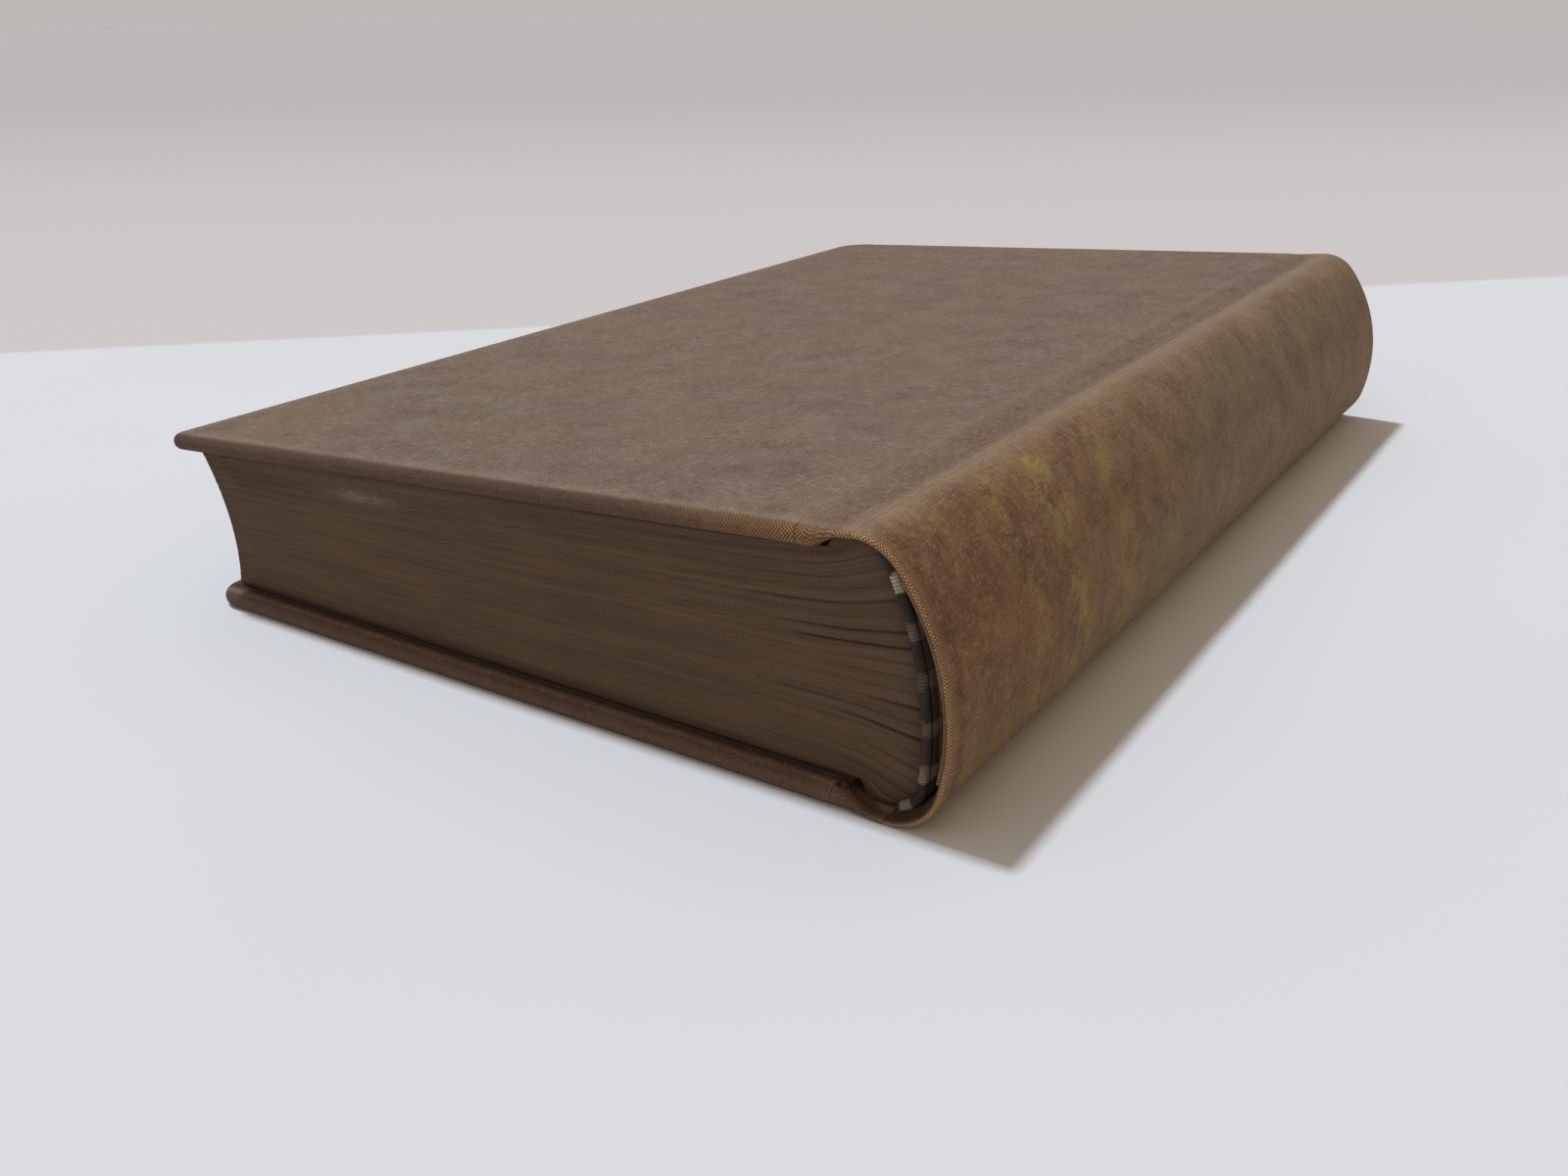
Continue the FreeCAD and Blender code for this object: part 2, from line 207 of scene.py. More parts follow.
class Cover:
    """One cover: its side, which begins the names of its pieces and body, and its section."""

    def __init__(self, side, section):
        self.side = side
        self.section = section

    def points(self, u, y, depth):
        """Points in metres from arrays of u, y and depth."""
        u, y, depth = np.broadcast_arrays(u, y, depth)
        flat = self.section(u, depth)
        return np.stack([flat[..., 0], y, flat[..., 1]], axis=-1) * MM

    def at(self, u, depth):
        """One point at the middle of the height, in metres."""
        return tuple(float(value) for value in self.points(u, 0.0, depth))


FRONT = Cover("front", front_section)
BACK = Cover("back", back_section)


# Meshes from grids of points

class Skin:
    """Grids of points that are merged into one closed mesh, with a cloth or leaf map in millimetres."""

    def __init__(self):
        self.points = []
        self.maps = []
        self.marks = []
        self.quads = []
        self.count = 0

    def patch(self, points, uv, marks=None, flip=False):
        """Add a grid (rows, columns, 3) with its map (rows, columns, 2) and named marks (rows, columns)."""
        rows, columns = points.shape[:2]
        index = np.arange(rows * columns).reshape(rows, columns) + self.count
        corners = [index[:-1, :-1], index[1:, :-1], index[1:, 1:], index[:-1, 1:]]
        if flip:
            corners.reverse()
        self.quads.append(np.stack(corners, axis=-1).reshape(-1, 4))
        self.points.append(points.reshape(-1, 3))
        self.maps.append(np.broadcast_to(uv, points.shape[:2] + (2,)).reshape(-1, 2))
        self.marks.append({name: np.broadcast_to(value, points.shape[:2]).reshape(-1)
                           for name, value in (marks or {}).items()})
        self.count += rows * columns

    def build(self, name, material, merge=1e-6):
        """Put the patches into an object, merge what they share and turn the faces outwards."""
        points = np.concatenate(self.points)
        quads = np.concatenate(self.quads)
        uv = np.concatenate(self.maps)
        mesh = bpy.data.meshes.new(name)
        mesh.vertices.add(len(points))
        mesh.vertices.foreach_set("co", points.astype(np.float32).ravel())
        mesh.loops.add(quads.size)
        mesh.loops.foreach_set("vertex_index", quads.astype(np.int32).ravel())
        mesh.polygons.add(len(quads))
        mesh.polygons.foreach_set("loop_start", np.arange(0, quads.size, 4, dtype=np.int32))
        mesh.update(calc_edges=True)
        layer = mesh.uv_layers.new(name="cut")
        layer.data.foreach_set("uv", uv[quads.ravel()].astype(np.float32).ravel())
        for mark in sorted({mark for marks in self.marks for mark in marks}):
            values = np.concatenate([marks.get(mark, np.zeros(len(part)))
                                     for marks, part in zip(self.marks, self.points)])
            mesh.attributes.new(mark, "FLOAT", "POINT").data.foreach_set("value", values.astype(np.float32))
        work = bmesh.new()
        work.from_mesh(mesh)
        bmesh.ops.remove_doubles(work, verts=work.verts, dist=merge)
        bmesh.ops.dissolve_degenerate(work, edges=work.edges, dist=merge)
        bmesh.ops.recalc_face_normals(work, faces=work.faces)
        work.to_mesh(mesh)
        work.free()
        mesh.polygons.foreach_set("use_smooth", np.ones(len(mesh.polygons), dtype=bool))
        piece = bpy.data.objects.new(name, mesh)
        bpy.context.scene.collection.objects.link(piece)
        mesh.materials.append(material)
        return piece


def run_length(points):
    """Distance walked along each row of a grid of points, in millimetres."""
    steps = np.linalg.norm(np.diff(points, axis=1), axis=-1) / MM
    return np.concatenate([np.zeros((len(points), 1)), np.cumsum(steps, axis=1)], axis=1)


def close_ends(skin, loops, uv, marks=None):
    """Close the first and last loop of a loft by joining each point to the one across the thickness."""
    half = loops.shape[1] // 2
    for row, flip in ((0, False), (-1, True)):
        near = loops[row, :half]
        far = loops[row, ::-1][:half]
        end_marks = {name: np.stack([value[row, :half], value[row, ::-1][:half]])
                     for name, value in (marks or {}).items()}
        skin.patch(np.stack([near, far]), np.stack([uv[row, :half], uv[row, ::-1][:half]]), end_marks, flip)


def loft(name, material, loops, uv, marks=None):
    """Closed piece from loops (rows, columns, 3). Columns pair up across the thickness from both ends."""
    skin = Skin()
    wrapped = np.concatenate([loops, loops[:, :1]], axis=1)
    last = uv[:, -1:] + (uv[:, -1:] - uv[:, -2:-1])
    wrapped_marks = {key: np.concatenate([value, value[:, :1]], axis=1)
                     for key, value in (marks or {}).items()}
    skin.patch(wrapped, np.concatenate([uv, last], axis=1), wrapped_marks)
    close_ends(skin, loops, uv, marks)
    return skin.build(name, material)


# Shader maths

class Value:
    """An output socket. Arithmetic with numbers and other values adds Math nodes."""

    def __init__(self, nodes, socket):
        self.nodes = nodes
        self.socket = socket

    def math(self, operation, *others):
        """Math node of this value and the others."""
        inputs = {index + 1: other for index, other in enumerate(others)}
        return self.nodes.node("Math", {"operation": operation}, {0: self, **inputs})

    def __add__(self, other):
        return self.math("ADD", other)

    def __sub__(self, other):
        return self.math("SUBTRACT", other)

    def __mul__(self, other):
        return self.math("MULTIPLY", other)

    def __truediv__(self, other):
        return self.math("DIVIDE", other)

    __radd__ = __add__
    __rmul__ = __mul__

    def __rsub__(self, other):
        return self.nodes.node("Math", {"operation": "SUBTRACT"}, {0: other, 1: self})

    def __rtruediv__(self, other):
        return self.nodes.node("Math", {"operation": "DIVIDE"}, {0: other, 1: self})

    def clamp(self):
        """This value held between 0 and 1."""
        return self.nodes.node("Clamp", {}, {0: self})

    def step(self, start, end):
        """Smooth step of this value from start to end, either way round."""
        return self.nodes.node("MapRange", {"interpolation_type": "SMOOTHSTEP"},
                                {0: self, 1: start, 2: end})


def rgb(red, green, blue):
    """Linear colour from display values between 0 and 255."""
    linear = [((value / 255 + 0.055) / 1.055) ** 2.4 if value > 10 else value / 255 / 12.92
              for value in (red, green, blue)]
    return (*linear, 1.0)


class Nodes:
    """A node tree being filled, with one method that adds any node."""

    def __init__(self, tree):
        self.tree = tree
        self.tree.nodes.clear()

    def node(self, kind, settings, inputs, out=0):
        """Add a node of a kind with its settings and inputs, and give one of its outputs."""
        made = self.tree.nodes.new("ShaderNode" + kind)
        for key, value in settings.items():
            setattr(made, key, value)
        for key, value in inputs.items():
            self.feed(made.inputs[key], value)
        return Value(self, made.outputs[out])

    def feed(self, socket, value):
        """Link a value to a socket, or set the socket to a number or colour."""
        if isinstance(value, Value):
            self.tree.links.new(value.socket, socket)
        else:
            socket.default_value = value

    def mix(self, factor, first, second):
        """Colour between two colours."""
        return self.node("Mix", {"data_type": "RGBA"}, {0: factor, 6: first, 7: second}, 2)


class Finish(Nodes):
    """A material being made, with one shader."""

    def __init__(self, name, roughness, specular):
        self.material = bpy.data.materials.new(name)
        self.material.use_nodes = True
        super().__init__(self.material.node_tree)
        self.shader = self.tree.nodes.new("ShaderNodeBsdfPrincipled")
        output = self.tree.nodes.new("ShaderNodeOutputMaterial")
        self.tree.links.new(self.shader.outputs[0], output.inputs[0])
        self.shader.inputs["Roughness"].default_value = roughness
        self.shader.inputs["Specular IOR Level"].default_value = specular

    def place(self, name=None):
        """The piece's map in millimetres as two values, or object coordinates in millimetres as three."""
        if name:
            source = self.node("UVMap", {"uv_map": name}, {})
        else:
            metres = self.node("TexCoord", {}, {}, "Object")
            source = self.node("VectorMath", {"operation": "SCALE"}, {0: metres, "Scale": 1 / MM})
        split = self.node("SeparateXYZ", {}, {0: source}).socket.node
        return [Value(self, split.outputs[index]) for index in range(2 if name else 3)]

    def mark(self, name):
        """A named number stored on the piece's points."""
        return self.node("Attribute", {"attribute_name": name}, {}, "Fac")

    def noise(self, scale, detail, *where, roughness=0.55):
        """Noise between 0 and 1 with a feature size of about 1 / scale, over the given values."""
        axes = dict(enumerate(where))
        vector = self.node("CombineXYZ", {}, axes)
        return self.node("TexNoise", {}, {"Vector": vector, "Scale": scale, "Detail": detail,
                                          "Roughness": roughness})

    def finish(self, colour, height=None, relief=0.0):
        """Feed the shader: colour, and bump from a height times the relief in millimetres."""
        self.feed(self.shader.inputs["Base Color"], colour)
        if height is not None:
            bump = self.node("Bump", {}, {"Strength": 1.0, "Distance": relief * MM, "Height": height})
            self.feed(self.shader.inputs["Normal"], bump)
        return self.material


THREAD_PITCH = 0.42
FIBRE_DEPTH = 0.11
WEAVE_PITCH = 0.8

# Faded gilt on the spine: place along it, half width and strength
GILT_BANDS = ((-73.5, 4.0, 0.8), (-61.5, 6.5, 1.0), (-45.5, 5.5, 0.7), (-28.0, 5.0, 0.4))
CAP_FURROW = -94.6


def bookcloth():
    """Ribbed cloth: threads crossing at the pitch, fine mottling, painted shade on the rims and in the gaps
    by the block, and golden thread tips.

    The spine is redder near the head and carries the faded patches of a gilt pattern. Its lower part is
    lightened as painted bounce light from the floor, and a painted shade line marks the furrow by the head
    cap.
    """
    f = Finish("worn_bookcloth", roughness=0.78, specular=0.22)
    u, v = f.place("cut")
    wear = f.mark("wear")
    spine = f.mark("spine")
    wobble_u = u + (f.noise(0.35, 2, u, v) - 0.5) * 0.55
    wobble_v = v + (f.noise(0.35, 2, v, u) - 0.5) * 0.55
    warp = (wobble_u * (TAU / THREAD_PITCH)).math("SINE")
    weft = (wobble_v * (TAU / (THREAD_PITCH * 1.15))).math("SINE")
    slub = f.noise(1.1, 2, u * 0.35, v)
    weave = warp * weft * 0.5 + 0.5
    height = weave * (0.5 + slub * 0.9) + (wobble_v * (TAU / THREAD_PITCH * 0.5)).math("SINE") * 0.12

    haze = f.noise(0.05, 3, u, v, roughness=0.6)
    patch = f.noise(0.13, 5, u, v, roughness=0.7)
    speck = f.noise(0.9, 4, u, v, roughness=0.8)
    grain = (f.noise(2.6, 2, u * 0.22, v, roughness=0.7) + f.noise(2.6, 2, u, v * 0.22, roughness=0.7)) * 0.5
    streaks = f.noise(0.55, 3, u, v * 0.07, roughness=0.65)

    cover = f.mix(patch.step(0.28, 0.72), rgb(108, 89, 79), rgb(132, 115, 103))
    cover = f.mix(haze.step(0.4, 0.62) * 0.5, cover, rgb(128, 112, 84))
    near_head = v.step(10.0, -90.0)
    back_dark = f.mix(near_head, rgb(128, 104, 84), rgb(112, 79, 56))
    back_pale = f.mix(near_head, rgb(152, 130, 104), rgb(148, 115, 78))
    back = f.mix(patch.step(0.32, 0.68), back_dark, back_pale)
    gilt_edge = (patch - 0.5) * 22 + (speck - 0.5) * 10
    gilt = 0
    for place, half_width, strength in GILT_BANDS:
        inside = (v - place).math("ABSOLUTE") + gilt_edge
        gilt = gilt + inside.step(half_width, half_width * 0.3) * strength
    broken = (speck * 0.5 + patch * 0.5).step(0.42, 0.56) * f.noise(0.16, 2, v, u).step(0.36, 0.56)
    gilt = (gilt * broken * spine.step(0.6, 1.0)).clamp()
    # Painted bounce light: the lower part of the spine, towards the floor, is lightened
    back = f.mix(u.step(RIDGE_U + 20.0, RIDGE_U + 36.0) * 0.45, back, rgb(156, 134, 106))
    back = f.mix(gilt * 0.75, back, rgb(180, 162, 84))
    # Painted shade: a dark line along the furrow by the head cap
    furrow_shade = (v - CAP_FURROW).math("ABSOLUTE").step(1.7, 0.3)
    back = f.mix(furrow_shade * 0.4, back, rgb(88, 56, 38))
    colour = f.mix(spine, cover, back)
    colour = f.mix(f.mark("joint") * speck.step(0.3, 0.6) * 0.7, colour, rgb(116, 80, 60))
    colour = f.mix(streaks.step(0.5, 0.8) * 0.35, colour, rgb(150, 132, 112))
    colour = f.mix(speck.step(0.52, 0.74) * 0.5, colour, rgb(80, 60, 52))
    colour = f.mix(grain.step(0.46, 0.36) * 0.55, colour, rgb(76, 56, 46))
    colour = f.mix(grain.step(0.52, 0.64) * 0.5, colour, rgb(168, 150, 126))
    worn = (wear * 1.2 - 0.2 + (speck - 0.5) * 1.1).clamp()
    colour = f.mix(worn * 0.62, colour, rgb(162, 136, 108))
    # Painted shade on the rims where the cloth turns inwards, and on its inner side
    rim = (f.mark("rim") * 1.3 + (speck - 0.5) * 0.8 - 0.15).clamp()
    colour = f.mix(rim * 0.85, colour, rgb(80, 58, 48))
    # Painted shade, darker still: in the gaps next to the block, on the spine cloth's inner side and along
    # the back cover's head edge
    colour = f.mix(f.mark("gap"), colour, rgb(44, 31, 27))
    tip = f.mark("tip")
    colour = f.mix(tip * 0.55, colour, rgb(132, 94, 58))
    bright = (weave * 1.3 + grain * 1.2 - 1.55 + tip * 0.25).step(0.0, 0.4)
    colour = f.mix(bright * (0.26 + worn * 0.4 + tip * 0.55), colour, rgb(208, 160, 96))
    gaps = (1 - weave).step(0.45, 0.95)
    colour = f.mix(gaps * (0.46 + tip * 0.3), colour, rgb(62, 41, 31))
    return f.finish(colour, height, FIBRE_DEPTH)


def page_edges():
    """Trimmed leaves: hair lines along each leaf, dust and browning, and painted shade between the sections,
    along the leaves next to the covers and towards the back.
    """
    f = Finish("browned_page_edges", roughness=0.88, specular=0.2)
    along, across = f.place("cut")
    hair = f.noise(5.2, 3, along * 0.015, across, roughness=0.75)
    band = f.noise(1.1, 2, along * 0.02, across)
    cloud = f.noise(0.06, 3, along, across * 2.5)
    fleck = f.noise(1.3, 3, along * 0.5, across * 2.0, roughness=0.7)
    colour = f.mix(band.step(0.3, 0.7), rgb(83, 66, 52), rgb(100, 80, 63))
    colour = f.mix(hair.step(0.35, 0.62) * 0.4, colour, rgb(64, 48, 38))
    grain = f.noise(3.2, 2, along, across, roughness=0.8)
    colour = f.mix(grain.step(0.42, 0.7) * 0.35, colour, rgb(113, 88, 63))
    colour = f.mix(cloud.step(0.45, 0.75) * 0.3, colour, rgb(106, 86, 68))
    colour = f.mix(fleck.step(0.64, 0.8) * 0.35, colour, rgb(140, 122, 104))
    colour = f.mix(f.mark("dust") * fleck.step(0.3, 0.6), colour, rgb(160, 146, 130))
    # Painted shade: between the sections, next to the covers, towards the back and on the back
    colour = f.mix(f.mark("dark"), colour, rgb(40, 29, 24))
    return f.finish(colour, hair + band * 0.4, 0.09)


def endpaper():
    """Plain yellowed paper with fibres, foxing and browned borders, and painted shade on its rims next to the
    block.
    """
    f = Finish("yellowed_endpaper", roughness=0.9, specular=0.2)
    x, y, z = f.place()
    cloud = f.noise(0.02, 4, x, y, z)
    fibre = f.noise(1.8, 4, x, y, z, roughness=0.7)
    fox = f.noise(0.22, 2, x, y, z)
    colour = f.mix(cloud.step(0.3, 0.7), rgb(206, 190, 156), rgb(190, 170, 132))
    colour = f.mix(fibre.step(0.5, 0.8) * 0.25, colour, rgb(168, 146, 110))
    colour = f.mix(fox.step(0.68, 0.78) * 0.5, colour, rgb(150, 112, 70))
    colour = f.mix(f.mark("edge") * 0.6, colour, rgb(158, 128, 88))
    # Painted shade on the rims
    colour = f.mix(f.mark("rim"), colour, rgb(58, 45, 36))
    return f.finish(colour, fibre, 0.03)


def endband():
    """Threads wound round the band, mostly grey-blue, with a few cream stripes, soiled brown."""
    f = Finish("striped_endband", roughness=0.85, specular=0.2)
    along, around = f.place("cut")
    fuzz = f.noise(2.6, 3, along, around, roughness=0.7)
    soil = f.noise(0.3, 3, along, around)
    turn = (along + (fuzz - 0.5) * 0.5 + (soil - 0.5) * 2.5) / 5.6
    phase = turn.math("FRACT")
    cream = phase.step(0.02, 0.08) * (1 - phase.step(0.34, 0.42))
    clean = along.step(14.0, 3.0).math("MAXIMUM", along.step(25.0, 30.0) * 0.32)
    colour = f.mix(cream * (0.2 + clean * 0.8), rgb(50, 45, 44), rgb(196, 184, 156))
    colour = f.mix(soil.step(0.3, 0.65) * (0.7 - clean * 0.45), colour, rgb(70, 56, 44))
    thread = (along * (math.pi / THREAD_PITCH)).math("SINE").math("ABSOLUTE")
    colour = f.mix((1 - thread).step(0.6, 1.0) * 0.6, colour, rgb(34, 26, 22))
    return f.finish(colour, fuzz, 0.05)


def millboard():
    """Grey-brown board: pressed fibres, flecks and darker layers."""
    f = Finish("millboard", roughness=0.92, specular=0.15)
    x, y, z = f.place()
    pulp = f.noise(0.9, 4, x, y, z * 4.0, roughness=0.7)
    fleck = f.noise(3.0, 2, x, y, z)
    colour = f.mix(pulp.step(0.3, 0.7), rgb(150, 132, 106), rgb(120, 102, 80))
    colour = f.mix(fleck.step(0.62, 0.75) * 0.6, colour, rgb(86, 68, 50))
    return f.finish(colour, pulp, 0.06)


def lining_paper():
    """Coarse brown paper with long fibres and dark glue stains."""
    f = Finish("lining_paper", roughness=0.9, specular=0.2)
    x, y, z = f.place()
    fibre = f.noise(0.9, 4, x * 2.0, y * 0.3, z * 2.0, roughness=0.7)
    stain = f.noise(0.09, 3, x, y, z)
    colour = f.mix(fibre.step(0.3, 0.7), rgb(128, 102, 74), rgb(104, 80, 56))
    colour = f.mix(stain.step(0.5, 0.7) * 0.5, colour, rgb(70, 50, 34))
    return f.finish(colour, fibre, 0.05)


def open_weave():
    """Open-weave cotton stiffened with glue: crossing threads with dark gaps."""
    f = Finish("open_weave_cotton", roughness=0.9, specular=0.2)
    x, y, z = f.place()
    lengthwise = (y * (TAU / WEAVE_PITCH)).math("SINE")
    crosswise = ((x + z) * (TAU / WEAVE_PITCH)).math("SINE")
    net = lengthwise.math("MAXIMUM", crosswise)
    slub = f.noise(0.8, 3, x, y, z)
    colour = f.mix(net.step(-0.3, 0.5), rgb(92, 72, 50), rgb(176, 158, 122))
    colour = f.mix(slub.step(0.45, 0.75) * 0.4, colour, rgb(120, 96, 64))
    return f.finish(colour, net, 0.12)


BOOKCLOTH = bookcloth()
PAGE_EDGES = page_edges()
ENDPAPER = endpaper()
ENDBAND = endband()
MILLBOARD = millboard()
LINING_PAPER = lining_paper()
OPEN_WEAVE = open_weave()


# Case cloth

GROOVE_FADE = 18.0
SPINE_STEPS = (14, 70)
SPINE_ARC = float(CASE.line(*SPINE_STEPS)[2][-1])


def joint_line(u, y):
    """Depth of the cloth's outer face: an S from the board down to the groove, and up to the ridge.

    The groove fades out towards the head and the tail, where the cloth is drawn over the board's end.
    """
    down = ease((u - BOARD_BACK_EDGE + 0.8) / (GROOVE_FROM - BOARD_BACK_EDGE + 0.8))
    up = ease((u - GROOVE_TO) / (RIDGE_U - GROOVE_TO))
    return GROOVE_DEPTH * (down - up) * (0.2 + 0.8 * ease((HALF - np.abs(y)) / GROOVE_FADE))


def across_columns():
    """Places over the height from -1 to 1, close together at the turned-in edges and at the ends."""
    inner = WINDOW_HALF / (HALF - EDGE_RADIUS)
    half = stations((0, inner - 0.01, 34), (inner - 0.01, inner + 0.01, 4), (inner + 0.01, 0.985, 8),
                    (0.985, 1, 3))
    return np.concatenate([-half[::-1], half[1:]])


def cover_loops(corners):
    """Loops round a cover in (u, y, depth). corners are its plan radii at the head and at the tail.

    Each loop runs over the outer face, round the tail edge, over the inner face and round the head
    edge. The outline in plan is a rectangle with two round corners; at each depth it is inset by
    the amount that a round edge leaves there. Past the board the thickness tapers to the cap's lip.
    """
    nose = EDGE_RADIUS * (1 - np.cos(np.linspace(0, math.pi / 2, 7)))
    u = np.concatenate([nose, stations((EDGE_RADIUS, 7.0, 12), (7.0, TURN_IN - 0.8, 4),
                                       (TURN_IN - 0.8, TURN_IN + 0.8, 4),
                                       (TURN_IN + 0.8, BOARD_BACK_EDGE - 1.2, 56),
                                       (BOARD_BACK_EDGE - 1.2, BOARD_BACK_EDGE, 4))[1:],
                        stations((BOARD_BACK_EDGE + 0.12, RIDGE_U, 34))])[:, None]
    thin = u > BOARD_BACK_EDGE + 0.06
    taper = ease((u - BOARD_BACK_EDGE - 1.0) / (GROOVE_TO + 0.4 - BOARD_BACK_EDGE))
    thickness = COVER_THICKNESS + (LIP_THICKNESS - COVER_THICKNESS) * taper
    radius = np.minimum(EDGE_RADIUS, thickness / 2)
    first = np.arcsin(np.clip(1 - u / EDGE_RADIUS, 0, 1))
    wall = first + (math.pi - 2 * first) * np.linspace(0, 1, WALL_COLUMNS)[None, :]
    inset = radius * (1 - np.sin(wall))
    wall_depth = np.where(np.cos(wall) >= 0, radius * (1 - np.cos(wall)),
                          thickness - radius * (1 + np.cos(wall)))
    reach = []
    for corner in corners:
        plan = np.clip(corner - inset, 0, None)
        short = np.clip(plan - (u - inset), 0, plan)
        reach.append(HALF - inset - (plan - np.sqrt(np.clip(plan ** 2 - short ** 2, 0, None))))
    head, tail = reach
    t = across_columns()[None, :]
    y_flat = np.where(t > 0, t * tail[:, :1], t * head[:, :1])
    window = ease((u - TURN_IN + 0.4) / 0.8) * ease((WINDOW_HALF + 0.4 - np.abs(y_flat)) / 0.8)
    inner_cover = wall_depth[:, -1:] - (CLOTH + 0.05) * window
    outer = joint_line(u, y_flat)
    end = ease((np.abs(y_flat) - BLOCK_HALF - 0.9) / 0.6)
    inner_joint = outer + CLOTH + (thickness - CLOTH) * end
    inner = np.where(thin, inner_joint, inner_cover)
    tail_wall, head_wall = tail[:, 1:-1], -head[:, ::-1][:, 1:-1]
    y = np.concatenate([y_flat, tail_wall, y_flat[:, ::-1], head_wall], axis=1)
    depth = np.concatenate([outer + wall_depth[:, :1],
                            joint_line(u, tail_wall) + wall_depth[:, 1:-1], inner[:, ::-1],
                            joint_line(u, head_wall) + wall_depth[:, ::-1][:, 1:-1]], axis=1)
    return np.broadcast_to(u, y.shape), y, depth


def case_cloth(cover, corners, seed):
    """Cloth of one cover from the fore edge to the ridge, bending at the joint.

    The marks say where the colour changes: wear on edges and ridge, rim for painted shade where the cloth
    turns inwards and on its inner side past the board, tip for golden thread ends, gap for painted shade on
    the square next to the block and along the back cover's head edge, joint along the hinge line and spine
    for the spine's own colour.
    """
    u, y, depth = cover_loops(corners)
    middle = across_columns().size // 2
    points = cover.points(u, y, depth)
    walk = run_length(points)
    u_map = u if cover is FRONT else 2 * RIDGE_U + SPINE_ARC - u
    uv = np.stack([u_map, walk - walk[:, middle:middle + 1]], axis=-1)
    from_end = HALF - np.abs(y)
    from_edge = np.minimum(from_end, u)
    ridge = ease((u - RIDGE_U + 2.2) / 2.2)
    near_spine = ease((u - 80) / 34)
    marks = {
        "wear": np.clip(0.75 * ridge + 0.35 * np.exp(-((u - BOARD_BACK_EDGE + 1.2) / 1.6) ** 2)
                        + 0.5 * np.exp(-((from_edge - 1.8) / 1.2) ** 2), 0, 1),
        # Painted shade along the cover's edges and on the inner side of the cloth past the board
        "rim": np.maximum(ease((1.5 - from_edge) / 1.2) * (1 - 0.5 * near_spine * ease((u - 104) / 8)),
                          ease((u - BOARD_BACK_EDGE) / 1.0) * ease((depth - joint_line(u, y) - 0.4) / 0.25)),
        "tip": ease((1.2 - from_end) / 0.9) * near_spine * (0.15 + 0.65 * (cover is FRONT)),
        # Painted shade on the square next to the block, and along the back cover's head edge near the floor
        "gap": ease((depth - 1.5) / 0.7) * ease((from_end - 1.0) / 1.8) * ease((4.0 - from_end) / 0.5)
               + 0.55 * (cover is BACK) * ease((0.9 - depth) / 0.8) * ease((1.2 - from_end) / 0.8),
        "joint": np.exp(-((u - COVER_REACH - 0.2) / 1.5) ** 2),
        "spine": 0.5 * ridge}
    wave = 0.03 * ripple(seed, 45, u, y) * ease(u / 8) * ease((BOARD_BACK_EDGE - u) / 8)
    lifted = cover.points(u, y, depth + np.where(depth < 1.5, np.abs(wave), 0))
    piece = loft(cover.side + "_case_cloth", BOOKCLOTH, lifted, uv, marks)
    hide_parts(cover.side + "_cover_cloth")
    cover.at(COVER_REACH - 1.5, GROOVE_DEPTH)
    cover.at(COVER_REACH + 2.2, GROOVE_DEPTH)
    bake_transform(piece)


def cover_board(cover, corners):
    """Millboard inside a cover: a slab whose plan corners are those of the cloth, less its thickness."""
    u = stations((CLOTH, CLOTH + 7.0, 20), (CLOTH + 7.0, BOARD_BACK_EDGE - 0.02, 10))[:, None]
    reach = []
    for corner in corners:
        plan = corner - CLOTH
        short = np.clip(plan - (u - CLOTH), 0, plan)
        reach.append(HALF - CLOTH - (plan - np.sqrt(plan ** 2 - short ** 2)))
    t = np.linspace(-1, 1, 41)[None, :]
    y = np.where(t > 0, t * reach[1], t * reach[0])
    uu = u + 0 * y
    loops = both_faces(cover.points(u, y, CLOTH + 0.06), cover.points(u, y, CLOTH + BOARD))
    uv = np.stack([both_faces(uu, uu), both_faces(y, y)], axis=-1)
    piece = loft(cover.side + "_millboard", MILLBOARD, loops, uv)
    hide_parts(cover.side + "_board")
    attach(piece, cover.side + "_cover")


